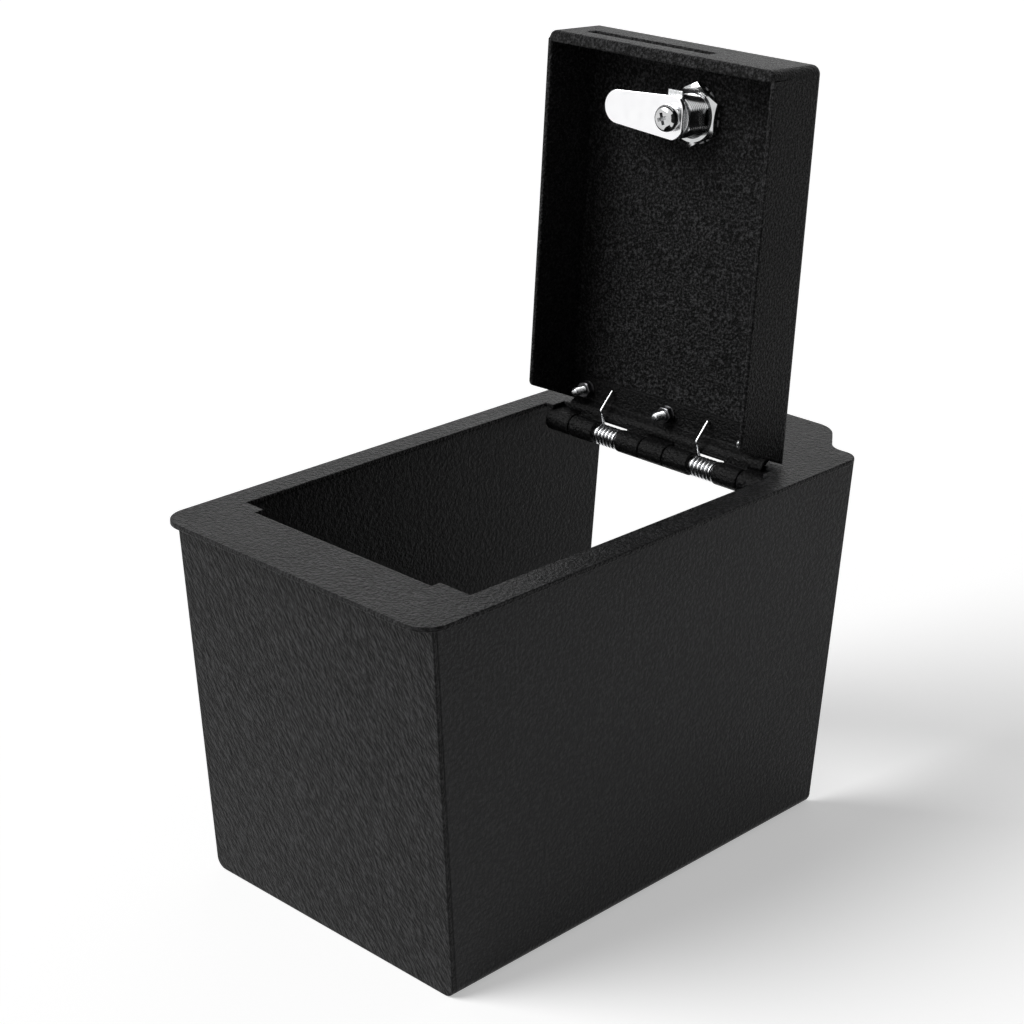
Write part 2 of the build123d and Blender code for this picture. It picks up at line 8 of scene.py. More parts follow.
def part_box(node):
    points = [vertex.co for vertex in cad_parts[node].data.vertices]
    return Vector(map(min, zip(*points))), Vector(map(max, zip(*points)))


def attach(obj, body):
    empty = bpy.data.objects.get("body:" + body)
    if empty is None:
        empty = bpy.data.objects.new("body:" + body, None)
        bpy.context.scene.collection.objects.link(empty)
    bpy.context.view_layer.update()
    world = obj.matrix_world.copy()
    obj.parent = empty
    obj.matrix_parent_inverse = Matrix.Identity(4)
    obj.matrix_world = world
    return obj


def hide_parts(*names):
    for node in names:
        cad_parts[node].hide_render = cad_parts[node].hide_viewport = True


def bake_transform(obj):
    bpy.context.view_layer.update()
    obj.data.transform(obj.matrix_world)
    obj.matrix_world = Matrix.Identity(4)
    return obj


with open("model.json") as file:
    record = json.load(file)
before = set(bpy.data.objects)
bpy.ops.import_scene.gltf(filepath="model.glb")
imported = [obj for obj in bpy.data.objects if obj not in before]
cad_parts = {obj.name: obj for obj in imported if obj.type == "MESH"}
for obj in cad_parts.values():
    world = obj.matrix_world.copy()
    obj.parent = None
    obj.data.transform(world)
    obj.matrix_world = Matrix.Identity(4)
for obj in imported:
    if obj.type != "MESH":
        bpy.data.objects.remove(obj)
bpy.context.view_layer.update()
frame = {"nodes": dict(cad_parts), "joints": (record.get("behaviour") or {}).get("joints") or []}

# Side wrap: the left side, floor and right side of the box, bent from one steel sheet.
# It is powder coated black: soft lumps about a millimetre across with finer grit on them,
# and the coat leaves every edge of the sheet a little round.


class Shade:
    """A shader socket that Python's sums work on, and that adds nodes to its tree."""

    def __init__(self, tree, socket=None):
        self.tree = tree
        self.socket = socket

    def node(self, kind, settings, sockets, output=0):
        """Adds a node of that type, sets it up, fills its sockets and gives one output."""
        made = self.tree.nodes.new(kind)
        for name, value in settings.items():
            if name == "stops":
                while len(made.color_ramp.elements) < len(value):
                    made.color_ramp.elements.new(1.0)
                for element, (place, level) in zip(made.color_ramp.elements, value):
                    element.position = place
                    element.color = (level, level, level, 1)
            else:
                setattr(made, name, value)
        for key, value in sockets.items():
            if isinstance(value, Shade):
                self.tree.links.new(value.socket, made.inputs[key])
            else:
                made.inputs[key].default_value = value
        return Shade(self.tree, made.outputs[output])

    def __add__(self, other):
        return self.node("ShaderNodeMath", {"operation": "ADD"}, {0: self, 1: other})

    def __radd__(self, other):
        return self.node("ShaderNodeMath", {"operation": "ADD"}, {0: other, 1: self})

    def __sub__(self, other):
        return self.node("ShaderNodeMath", {"operation": "SUBTRACT"}, {0: self, 1: other})

    def __mul__(self, other):
        return self.node("ShaderNodeMath", {"operation": "MULTIPLY"}, {0: self, 1: other})

    def feeds(self, shader, name):
        self.tree.links.new(self.socket, shader.inputs[name])


def new_material(name):
    """A material with its shader, and a shade that holds the object's own coordinates."""
    made = bpy.data.materials.new(name)
    made.use_nodes = True
    place = Shade(made.node_tree).node("ShaderNodeTexCoord", {}, {}, "Object")
    return made, made.node_tree.nodes["Principled BSDF"], place


coat_shine = 0.09            # the surface's reflection, of which 0.5 is usual
grit_share = 0.35            # height of the grit beside the lumps
grit_finer = 2.3
cloud_scale = 24.0
cloud_dulls, grit_shines = 0.1, 0.08
blue_cast = 1.03             # a black a trace towards blue
# Painted shade and glints: the coat's colour is darkest at a lump's foot and lightest at its top.
hollow, flank, crown = 0.58, 0.69, 0.86    # heights of a lump's foot, side and top


def powder_coat(name, black, contrast, lump, depth, gloss, drawn_out=1.0, lean=0.0):
    """Textured black powder coat, its lumps drawn out along Z turned about Y by lean, with painted shade in
    the hollows between lumps and painted glints on their tops.
    """
    made, shader, place = new_material(name)
    drawn = place.node(
        "ShaderNodeMapping", {"vector_type": "TEXTURE"},
        {"Vector": place, "Rotation": (0, lean, 0), "Scale": (1, 1, drawn_out)},
    )
    lumps = place.node("ShaderNodeTexNoise", {}, {"Vector": drawn, "Scale": 1 / lump, "Detail": 3.0})
    grit = place.node("ShaderNodeTexNoise", {}, {"Vector": drawn, "Scale": grit_finer / lump, "Detail": 1.0})
    cloud = place.node("ShaderNodeTexNoise", {}, {"Vector": place, "Scale": cloud_scale, "Detail": 2.0})
    height = lumps + grit * grit_share
    # Painted shade and highlight: the colour drops below the black in the hollows and rises above it on the
    # crowns, as far as the contrast says.
    stops = [(hollow, 0.5 - contrast / 2), (flank, 0.5 - contrast / 6), (crown, 0.5 + contrast)]
    tone = place.node("ShaderNodeValToRGB", {"stops": stops}, {0: height})
    colour = place.node(
        "ShaderNodeMix", {"data_type": "RGBA", "blend_type": "MULTIPLY"},
        {"Factor": 1.0, 6: (2 * black, 2 * black, 2 * blue_cast * black, 1), 7: tone}, 2,
    )
    colour.feeds(shader, "Base Color")
    (gloss + cloud * cloud_dulls - grit * grit_shines).feeds(shader, "Roughness")
    shader.inputs["Specular IOR Level"].default_value = coat_shine
    bump = place.node("ShaderNodeBump", {}, {"Height": height, "Distance": depth})
    bump.feeds(shader, "Normal")
    return made


def take_up(piece):
    """Selects one piece alone."""
    bpy.ops.object.select_all(action="DESELECT")
    piece.select_set(True)
    bpy.context.view_layer.objects.active = piece


def modify(piece, kind, **settings):
    """Adds a modifier with its settings, and applies it."""
    take_up(piece)
    made = piece.modifiers.new(kind.lower(), kind)
    for name, value in settings.items():
        setattr(made, name, value)
    bpy.ops.object.modifier_apply(modifier=made.name)


same_spot = 1e-6
same_plane = radians(0.5)


def merged_copy(node_name):
    """A copy of a CAD piece with its loose triangles merged into whole faces."""
    piece = bpy.data.objects.new(node_name + "_made", frame["nodes"][node_name].data.copy())
    bpy.context.scene.collection.objects.link(piece)
    take_up(piece)
    bpy.ops.object.mode_set(mode="EDIT")
    bpy.ops.mesh.select_all(action="SELECT")
    bpy.ops.mesh.remove_doubles(threshold=same_spot)
    bpy.ops.mesh.dissolve_limited(angle_limit=same_plane)
    bpy.ops.object.mode_set(mode="OBJECT")
    return piece


def pick(piece, kind, wanted):
    """In edit mode, leaves only the wanted faces, edges or vertices selected."""
    bpy.ops.mesh.select_mode(type=kind)
    bpy.ops.mesh.select_all(action="DESELECT")
    bpy.ops.object.mode_set(mode="OBJECT")
    mesh = piece.data
    for part in {"FACE": mesh.polygons, "EDGE": mesh.edges, "VERT": mesh.vertices}[kind]:
        part.select = wanted(part)
    bpy.ops.object.mode_set(mode="EDIT")


sharp_angle = radians(35)


def round_edges(piece, edge, left_sharp=None):
    """Rounds off a piece's sharp edges, but for those that reach a spot to be left sharp."""
    take_up(piece)
    bpy.ops.object.shade_smooth_by_angle(angle=sharp_angle)
    bpy.ops.object.mode_set(mode="EDIT")
    bpy.ops.mesh.select_mode(type="EDGE")
    bpy.ops.mesh.select_all(action="DESELECT")
    bpy.ops.mesh.edges_select_sharp(sharpness=sharp_angle)
    if left_sharp:
        bpy.ops.object.mode_set(mode="OBJECT")
        sharp = {side.index for side in piece.data.edges if side.select}
        kept = {vertex.index for vertex in piece.data.vertices if left_sharp(vertex.co)}
        bpy.ops.object.mode_set(mode="EDIT")
        pick(piece, "EDGE", lambda side: side.index in sharp and kept.isdisjoint(side.vertices))
    bpy.ops.mesh.bevel(offset=edge, segments=3, affect="EDGES", clamp_overlap=False)
    bpy.ops.object.mode_set(mode="OBJECT")
    bpy.ops.object.shade_smooth_by_angle(angle=sharp_angle)
    modify(piece, "WEIGHTED_NORMAL", keep_sharp=True)
    return piece


def soften(node_name, edge, left_sharp=None):
    """A merged copy of a CAD piece with its sharp edges rounded off."""
    return round_edges(merged_copy(node_name), edge, left_sharp)


def finish(piece, material, body, slot, *nodes):
    """Dresses a piece, lets it ride on its body and stand for its CAD nodes."""
    piece.data.materials.clear()
    piece.data.materials.append(material)
    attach(piece, body)
    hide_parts(*nodes)


coat_edge = 0.0005
lump_size = 0.0017
coat_gloss = 0.38
# Painted light and shade: the one coat gets its own black on each piece, set so that each piece's faces come
# out as bright as they look under their light.
side_black_and_painted_light, side_contrast, side_lump_depth = 0.03, 0.2, 0.0005
side_coat = powder_coat(
    "powder_coat_sides", side_black_and_painted_light, side_contrast, lump_size, side_lump_depth, coat_gloss
)
finish(soften("side_wrap", coat_edge), side_coat, "safe", "textured_coat", "side_wrap")

# Front wall: a flat plate welded across the front of the wrap, leaning in towards its foot.
# The lumps on its coat are drawn out on a slant, and so are the painted shade and glints on them.
lump_depth = 0.0011
lump_contrast = 0.6
# The front wall's own black, partly painted light and shade.
front_black_and_painted_light = 0.0145
front_drawn_out = 2.4
front_slant = radians(-33)
front_coat = powder_coat(
    "powder_coat_front", front_black_and_painted_light, lump_contrast, lump_size, lump_depth, coat_gloss,
    front_drawn_out, front_slant,
)
finish(soften("front_wall", coat_edge), front_coat, "safe", "textured_coat", "front_wall")

# Deck: the flat top plate that the safe hangs from in its console, cut out for the lid. The
# recess at the cut-out's front ends in a lip, turned down for the cam to catch under.
# The deck's own black, partly painted light and shade.
deck_black_and_painted_light = 0.016
deck_lump = 0.0014
deck_coat = powder_coat(
    "powder_coat_deck", deck_black_and_painted_light, lump_contrast, deck_lump, lump_depth, coat_gloss
)
recess_ends = (-0.056, 0.05)
recess_mouth = -0.108
touching = 0.0001


def by_recess_end(place):
    """Whether a spot lies in an end of the recess, where the lip's bend begins."""
    to_end = min(abs(place.x - end) for end in recess_ends)
    return place.y < recess_mouth and to_end < touching


finish(soften("top_deck", coat_edge, by_recess_end), deck_coat, "safe", "textured_coat", "top_deck")

# Lid: a pressed tray of the same sheet, open at the hinge end, its front wall's rim folded in.
# The cam swings out through a slot in that wall. The lid's coat has finer lumps with deeper bumps, and the
# strongest painted shade and glints on them.
hinge = next(joint for joint in frame["joints"] if joint["name"] == "lid_hinge")
lock = next(joint for joint in frame["joints"] if joint["name"] == "lock_turn")
pin = Vector(hinge["pos_m"])
lid_in = -Vector(lock["axis"]).normalized()
lid_up = lid_in.cross(Vector((1, 0, 0)))
lid_edge = 0.0008
fold_edge = 0.00135
fold_level, fold_start = 0.01975, 0.18     # the folded rim, in from the pin and up from it
outer_front, outer_side = 0.1839, 0.0595   # its outer edge, at the front and at the sides


def on_outer_fold(place):
    """Whether a spot, taken from the pin, lies on the folded rim's outer edge."""
    up = place.dot(lid_up)
    on_fold = place.dot(lid_in) > fold_level and up > fold_start
    return on_fold and (up > outer_front or abs(place.x) > outer_side)


lid = merged_copy("lid_shell")
folded = [on_outer_fold(vertex.co - pin) for vertex in lid.data.vertices]
bpy.ops.object.mode_set(mode="EDIT")
pick(lid, "EDGE", lambda edge: all(folded[end] for end in edge.vertices))
bpy.ops.mesh.bevel(offset=fold_edge, segments=4, affect="EDGES", clamp_overlap=False)
bpy.ops.object.mode_set(mode="OBJECT")
# The lid's own black, partly painted light and shade.
lid_black_and_painted_light, lid_contrast, lid_gloss = 0.019, 0.95, 0.42
lid_lump, lid_lump_depth = 0.0012, 0.0019
lid_coat = powder_coat(
    "powder_coat_lid", lid_black_and_painted_light, lid_contrast, lid_lump, lid_lump_depth, lid_gloss
)
finish(round_edges(lid, lid_edge), lid_coat, "lid", "textured_coat", "lid_shell")

# Hinge: two steel leaves rolled into knuckles round a drawn steel pin, one welded under the
# deck and the other bolted to the lid. Their coat is set blacker, which is partly painted shade
# for the dark round the hinge under the open lid, and it is a little glossier.
leaf_edge = 0.0006
# The leaves' black, partly painted shade.
leaf_black_and_painted_shade, leaf_contrast, leaf_gloss = 0.006, 0.5, 0.33
leaf_lump, leaf_lump_depth = 0.0013, 0.0009
leaf_coat = powder_coat(
    "leaf_coat", leaf_black_and_painted_shade, leaf_contrast, leaf_lump, leaf_lump_depth, leaf_gloss
)
finish(soften("hinge_fixed_leaf", leaf_edge), leaf_coat, "safe", "hinge_coat", "hinge_fixed_leaf")
finish(soften("lid_hinge_leaf", leaf_edge), leaf_coat, "lid", "hinge_coat", "lid_hinge_leaf")

patch_scale = 260.0
worn_from, worn_to = 0.4, 0.75       # how strong a patch is where wear starts and is full
grain_depth = 0.00001
grain_dulls, wear_dulls = 0.06, 0.3


def metal(name, colour, gloss, grain, worn):
    """Bare or plated metal with a fine grain, and patches where handling has dulled it."""
    made, shader, place = new_material(name)
    fine = place.node("ShaderNodeTexNoise", {}, {"Vector": place, "Scale": 1 / grain, "Detail": 2.0})
    patch = place.node("ShaderNodeTexNoise", {}, {"Vector": place, "Scale": patch_scale, "Detail": 2.0})
    stops = [(worn_from, 1.0), (worn_to, 1 - worn)]
    dulled = place.node("ShaderNodeValToRGB", {"stops": stops}, {0: patch})
    shade = place.node(
        "ShaderNodeMix", {"data_type": "RGBA", "blend_type": "MULTIPLY"},
        {"Factor": 1.0, 6: (*colour, 1), 7: dulled}, 2,
    )
    shade.feeds(shader, "Base Color")
    (gloss + fine * grain_dulls + patch * worn * wear_dulls).feeds(shader, "Roughness")
    shader.inputs["Metallic"].default_value = 1.0
    bump = place.node("ShaderNodeBump", {}, {"Height": fine, "Distance": grain_depth})
    bump.feeds(shader, "Normal")
    return made


turned_edge = 0.0001                 # what turning and punching leave on small parts
drawn_steel = metal(
    "drawn_steel", colour=(0.55, 0.55, 0.56), gloss=0.28, grain=0.0004, worn=0.2
)
finish(soften("hinge_pin", turned_edge), drawn_steel, "safe", "zinc", "hinge_pin")

# Torsion springs: two coils of bright wire on the pin that throw the lid open. The leg at a
# coil's right end lies under the fixed leaf, the cranked one at its left end on the lid's leaf.
wire_radius = 0.0007
coil_radius = 0.0042
coil_turns = 6
wound_from = radians(67)             # where round the pin a coil starts and ends
wound_to = radians(19.5) + 2 * pi * coil_turns
turn_steps = 40
bend_steps = 6
leg_steps = 4
wire_angle = radians(50)
kink_radius = 0.0025
leg_start = (0.001641, 0.003866)     # along a leaf from the pin, and away from the leaf
leg_kink = (0.0109, 0.000064)
lid_leg_tip = (0.0192, 0.0072)
fixed_leg_tip = (0.0165, 0.0024)


def rounded(start, kink, tip):
    """Points along a leg from the coil to its tip, bent to a radius at its kink."""
    before, after = (kink - start).normalized(), (tip - kink).normalized()
    setback = kink_radius * tan(before.angle(after) / 2)
    first, last = kink - before * setback, kink + after * setback
    bend = []
    for step in range(bend_steps + 1):
        share = step / bend_steps
        bend.append(
            first * (1 - share) ** 2 + kink * (2 * share * (1 - share)) + last * share**2
        )
    return [start.lerp(first, step / leg_steps) for step in range(leg_steps)] + bend + [tip]


spring_zinc = metal(
    "spring_wire_zinc", colour=(0.8, 0.81, 0.82), gloss=0.14, grain=0.0003, worn=0.15
)
for spring_name in ("torsion_spring_left", "torsion_spring_right"):
    low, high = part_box(spring_name)
    left, right = low.x + wire_radius, high.x - wire_radius
    fixed_leg = [
        Vector((right, pin.y + along, pin.z + up))
        for along, up in (leg_start, (leg_kink[0], -leg_kink[1]), fixed_leg_tip)
    ]
    lid_leg = [
        Vector((left, pin.y, pin.z)) + lid_up * along + lid_in * depth
        for along, depth in (
            (leg_start[0], -leg_start[1]), leg_kink, (lid_leg_tip[0], -lid_leg_tip[1]),
        )
    ]
    steps = turn_steps * coil_turns
    coil = []
    for step in range(1, steps):
        angle = wound_from + (wound_to - wound_from) * step / steps
        spot = pin + coil_radius * Vector((0, cos(angle), sin(angle)))
        spot.x = right + (left - right) * step / steps
        coil.append(spot)
    line = rounded(*fixed_leg)[::-1] + coil + rounded(*lid_leg)
    path = bpy.data.curves.new(spring_name + "_line", "CURVE")
    path.dimensions = "3D"
    path.bevel_depth = wire_radius
    path.bevel_resolution = 4
    path.use_fill_caps = True
    wire = path.splines.new("POLY")
    wire.points.add(len(line) - 1)
    for point, spot in zip(wire.points, line):
        point.co = (*spot, 1)
    spring = bpy.data.objects.new(spring_name + "_made", path)
    bpy.context.scene.collection.objects.link(spring)
    take_up(spring)
    bpy.ops.object.convert(target="MESH")
    spring = bpy.context.object
    bpy.ops.object.shade_smooth_by_angle(angle=wire_angle)
    spring.data.materials.clear()
    spring.data.materials.append(spring_zinc)
    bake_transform(spring)
    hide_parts(spring_name)

# Hinge bolts: three M4 bolts with dome heads outside the lid, their long tips inside. Each
# clamps the leaf with a washer and a chamfered nut. The bolts are bright; the nuts and washers are given a
# dark metal colour.
panel_out = 0.0122                   # the lid's outer face, out from the pin
lid_frame = Matrix((Vector((1, 0, 0)), lid_up, lid_in)).transposed().to_4x4()
lid_frame.translation = pin - lid_in * panel_out
thread_angle = radians(28)
thread_steps = 48
crest_share = 0.25                   # a thread's flat crest, as a share of its pitch
merge_share = 0.02                   # points this near are one, as a share of a thread's depth
spare_turns = 4                      # wound on beyond the thread's ends, and cut off there
bolt_sides, lock_sides = 40, 96


def rod(name, radius, low, high, sides=64):
    """A plain rod upright on Z, as stock for turning."""
    bpy.ops.object.select_all(action="DESELECT")
    bpy.ops.mesh.primitive_cylinder_add(
        vertices=sides, radius=radius, depth=high - low, location=(0, 0, (low + high) / 2)
    )
    bpy.ops.object.transform_apply(location=True, rotation=False, scale=False)
    bpy.context.object.name = name
    return bpy.context.object


def round_rim(piece, level, offset, segments):
    """Rounds a rod's rim at that height."""
    take_up(piece)
    bpy.ops.object.mode_set(mode="EDIT")
    places = [vertex.co.z for vertex in piece.data.vertices]
    pick(piece, "EDGE", lambda edge: all(abs(places[end] - level) < same_spot for end in edge.vertices))
    bpy.ops.mesh.bevel(offset=offset, segments=segments, profile=0.5, affect="EDGES")
    bpy.ops.object.mode_set(mode="OBJECT")


def work(piece, operation, tool):
    """Cuts, keeps or joins a piece with a tool, which is then put away."""
    modify(piece, "BOOLEAN", operation=operation, object=tool, solver="EXACT")
    bpy.data.objects.remove(tool)


def turned_disc(name, radius, face_radius, rise, low, high, ways=(1, -1)):
    """A disc upright on Z, its rim slanted off at the top (1), the bottom (-1) or both."""
    bottom = low + rise if -1 in ways else low
    disc = rod(name, radius, bottom, high - rise, lock_sides)
    bpy.ops.object.mode_set(mode="EDIT")
    share = face_radius / radius
    for way in ways:
        pick(disc, "FACE", lambda face: face.normal.z * way > 0.95)
        bpy.ops.mesh.extrude_region_move(TRANSFORM_OT_translate={"value": (0, 0, way * rise)})
        bpy.ops.transform.resize(value=(share, share, 1), center_override=(0, 0, 0))
    bpy.ops.object.mode_set(mode="OBJECT")
    return disc


def thread_form(radius, depth, pitch, low, high):
    """A closed threaded form upright on Z: what a rod keeps inside it has the thread."""
    middle, start = radius - depth / 2, low - pitch
    bpy.ops.object.select_all(action="DESELECT")
    bpy.ops.mesh.primitive_plane_add(size=1, location=(middle, 0, start), rotation=(pi / 2, 0, 0))
    form = bpy.context.object
    bpy.ops.object.transform_apply(location=True, rotation=True, scale=True)
    bpy.ops.object.mode_set(mode="EDIT")
    centre = {"center_override": (middle, 0, start)}
    bpy.ops.transform.resize(value=(depth, 1, pitch), **centre)
    pick(form, "VERT", lambda vertex: vertex.co.x > middle)
    bpy.ops.transform.resize(value=(1, 1, crest_share), **centre)
    bpy.ops.mesh.select_all(action="SELECT")
    bpy.ops.mesh.delete(type="ONLY_FACE")
    pick(form, "VERT", lambda vertex: vertex.co.x < middle)
    bpy.ops.mesh.select_mode(type="EDGE")
    bpy.ops.mesh.delete(type="EDGE")
    bpy.ops.object.mode_set(mode="OBJECT")
    modify(
        form, "SCREW", axis="Z", angle=2 * pi, screw_offset=pitch,
        iterations=int((high - low) / pitch) + spare_turns, steps=thread_steps, render_steps=thread_steps,
    )
    bpy.ops.object.mode_set(mode="EDIT")
    bpy.ops.mesh.select_mode(type="VERT")
    for level, way in ((low - pitch / 4, -1), (high + pitch / 4, 1)):
        bpy.ops.mesh.select_all(action="SELECT")
        bpy.ops.mesh.remove_doubles(threshold=depth * merge_share)
        bpy.ops.mesh.bisect(
            plane_co=(0, 0, level), plane_no=(0, 0, way), use_fill=True, clear_outer=True
        )
    bpy.ops.mesh.select_all(action="SELECT")
    bpy.ops.mesh.normals_make_consistent(inside=False)
    bpy.ops.object.mode_set(mode="OBJECT")
    return form


face_share = 0.475                   # a nut's round face, beside its width across flats
stock_share = 1.002                  # the disc it is cut from, beside its corners
nut_chamfer = radians(30)
sink_width, sink_depth, sink_past = 1.3, 0.3, 0.22   # countersink, beside the hole's radius


def hexagon_nut(name, flats, hole, low, high, turn):
    """A hexagon nut upright on Z, its upper face chamfered, its hole countersunk."""
    corner = flats / sqrt(3)
    face_radius = face_share * flats
    rise = (corner - face_radius) * tan(nut_chamfer)
    nut = turned_disc(name, corner * stock_share, face_radius, rise, low, high, (1,))
    prism = rod("prism", corner, low - rise, high + rise, 6)
    prism.data.transform(Matrix.Rotation(turn - pi / 2, 4, "Z"))
    work(nut, "INTERSECT", prism)
    past = hole * sink_past
    drill = turned_disc("drill", hole, hole * sink_width, hole * sink_depth, low - past, high + past)
    work(nut, "DIFFERENCE", drill)
    take_up(nut)
    bpy.ops.object.shade_smooth_by_angle(angle=thread_angle)
    return nut


nut_room = 0.016                     # a circle that holds one nut and no other


def nut_turn(node_name, across, up):
    """The direction of a CAD nut's corner, seen along its own bolt."""
    inverse = lid_frame.inverted()
    centre = Vector((across, up, 0))
    spokes = [inverse @ vertex.co - centre for vertex in frame["nodes"][node_name].data.vertices]
    near = [spoke for spoke in spokes if hypot(spoke.x, spoke.y) < nut_room]
    corner = max(near, key=lambda spoke: hypot(spoke.x, spoke.y))
    return atan2(corner.y, corner.x)


def join(name, pieces):
    """Joins pieces into one object."""
    take_up(pieces[0])
    for piece in pieces:
        piece.select_set(True)
    bpy.ops.object.join()
    bpy.context.object.name = name
    return bpy.context.object


bolt_row = 0.0164                    # from the pin
bolt_places = [(-0.051, bolt_row), (-0.0015, bolt_row), (0.048, bolt_row)]
bolt_radius = 0.002
head_radius, head_height, head_round = 0.0045, 0.0018, 0.0014
washer_top, nut_top, bolt_tip = 0.0048, 0.0078, 0.014
tip_round = 0.0012
bolt_thread = (0.0003, 0.0007)       # depth and pitch
bolt_nut_flats = 0.007
thread_gap = 0.00005
overlap = 0.00001
shank = rod("shank", bolt_radius, 0, bolt_tip, bolt_sides)
round_rim(shank, bolt_tip, tip_round, segments=4)
work(shank, "INTERSECT", thread_form(bolt_radius, *bolt_thread, 0, bolt_tip))
head = rod("head", head_radius, -head_height, overlap, bolt_sides)
round_rim(head, -head_height, head_round, segments=6)
bolt = join("bolt", [shank, head])
bpy.ops.object.shade_smooth_by_angle(angle=thread_angle)
first_turn = nut_turn("hinge_nuts", *bolt_places[0])
nut = hexagon_nut(
    "nut", bolt_nut_flats, bolt_radius + thread_gap, washer_top, nut_top, first_turn
)
bolts, nuts = [], []
for across, up in bolt_places:
    for model, row in ((bolt, bolts), (nut, nuts)):
        copy = model.copy()
        copy.data = model.data.copy()
        copy.data.transform(lid_frame @ Matrix.Translation((across, up, 0)))
        bpy.context.scene.collection.objects.link(copy)
        row.append(copy)
bpy.data.objects.remove(bolt)
bpy.data.objects.remove(nut)
bright_zinc = metal(
    "bright_zinc", colour=(0.72, 0.73, 0.74), gloss=0.2, grain=0.0003, worn=0.25
)
# The nuts and washers are given a dark metal colour, darker than the bolts.
dark_metal = metal(
    "dark_metal", colour=(0.16, 0.16, 0.165), gloss=0.22, grain=0.0003, worn=0.3
)
finish(join("hinge_bolts_made", bolts), bright_zinc, "lid", "zinc", "hinge_bolts")
finish(join("hinge_nuts_made", nuts), dark_metal, "lid", "zinc", "hinge_nuts")
finish(soften("hinge_washers", turned_edge), dark_metal, "lid", "zinc", "hinge_washers")

# Lock: a threaded barrel with two flats and a round head, turned in one piece and plated.
# A thin hexagon nut on a toothed washer clamps it to the lid's panel.
lock_place = (0.0, 0.1536)
barrel_radius = 0.0095
barrel_chamfer = 0.0006
barrel_thread = (0.0006, 0.0012)     # depth and pitch
thread_low = -0.001
barrel_flat = 0.0082
barrel_end = 0.0169
cap_radius, cap_height, cap_round = 0.011, 0.0026, 0.0009
plug_bore = 0.00605
bore_from, bore_to = -0.01, 0.03     # the drill passes both ends of the barrel
nut_low, nut_high = 0.003, 0.0064
nut_flats = 0.025
chrome = metal("bright_chrome", colour=(0.6, 0.605, 0.61), gloss=0.06, grain=0.0003, worn=0.15)
barrel = turned_disc(
    "lock_barrel", barrel_radius, barrel_radius - barrel_chamfer, barrel_chamfer,
    -barrel_chamfer, barrel_end,
)
work(barrel, "INTERSECT", thread_form(barrel_radius, *barrel_thread, thread_low, barrel_end))
take_up(barrel)
bpy.ops.object.mode_set(mode="EDIT")
for way in (1, -1):
    bpy.ops.mesh.select_all(action="SELECT")
    bpy.ops.mesh.bisect(
        plane_co=(way * barrel_flat, 0, 0), plane_no=(way, 0, 0), use_fill=True, clear_outer=True
    )
bpy.ops.object.mode_set(mode="OBJECT")
lock_cap = rod("lock_cap", cap_radius, -cap_height, 0, lock_sides)
round_rim(lock_cap, -cap_height, cap_round, segments=5)
work(barrel, "UNION", lock_cap)
work(barrel, "DIFFERENCE", rod("bore", plug_bore, bore_from, bore_to))
take_up(barrel)
bpy.ops.object.shade_smooth_by_angle(angle=thread_angle)
lock_nut = hexagon_nut(
    "lock_nut_made", nut_flats, barrel_radius + thread_gap, nut_low, nut_high,
    nut_turn("lock_nut", *lock_place),
)
to_lock = lid_frame @ Matrix.Translation((*lock_place, 0))
barrel.data.transform(to_lock)
lock_nut.data.transform(to_lock)
finish(barrel, chrome, "lid", "lock_chrome", "lock_housing")
finish(lock_nut, chrome, "lid", "lock_chrome", "lock_nut")
# The lock's toothed washer gets the same dark metal colour, darker than the plated lock beside it.
finish(soften("lock_tooth_washer", turned_edge), dark_metal, "lid", "lock_chrome", "lock_tooth_washer")

# Plug: the brass cylinder that the key turns, with five wafers across its keyway.
# Its square tail carries the stop washer, whose lug limits the turn, and the cam.
wafer_edge = 0.00003
stop_edge = 0.00015
brass = metal("turned_brass", colour=(0.72, 0.58, 0.32), gloss=0.2, grain=0.0003, worn=0.2)
finish(soften("lock_plug", turned_edge), brass, "plug", "brass", "lock_plug")
finish(soften("lock_wafers", wafer_edge), brass, "plug", "brass", "lock_wafers")
finish(soften("stop_washer", stop_edge), bright_zinc, "plug", "lock_steel", "stop_washer")

# Cam: a tapered steel tongue punched from 2 mm strip and polished, which catches under the
# deck's lip. A spring washer and a domed screw with a cross recess hold it on the plug.
cam_edge = 0.00025
cam_steel = metal("cam_steel", colour=(0.93, 0.93, 0.94), gloss=0.2, grain=0.0005, worn=0.06)
finish(soften("lock_cam", cam_edge), cam_steel, "plug", "lock_steel", "lock_cam")
finish(soften("cam_lock_washer", turned_edge), chrome, "plug", "lock_chrome", "cam_lock_washer")
screw_seat, screw_top = 0.0212, 0.0258
screw_head_radius = 0.006
screw_dome, screw_rim = 0.0031, 0.0004
screw_radius = 0.0025
screw_low, screw_joined = 0.0123, 0.0217
screw_turn = radians(20)
recess_half = 0.0036
recess_width = 0.0019
recess_depth = 0.0028
recess_taper = (0.5, 0.7, 1)         # the recess's floor beside its mouth
pit_radius, pit_floor = 0.0021, 0.0004
screw_head = rod("screw_head", screw_head_radius, screw_seat, screw_top)
round_rim(screw_head, screw_top, screw_dome, segments=9)
round_rim(screw_head, screw_seat, screw_rim, segments=2)
work(screw_head, "UNION", rod("screw_shank", screw_radius, screw_low, screw_joined))
wing_size = (2 * recess_half, recess_width, 2 * recess_depth)
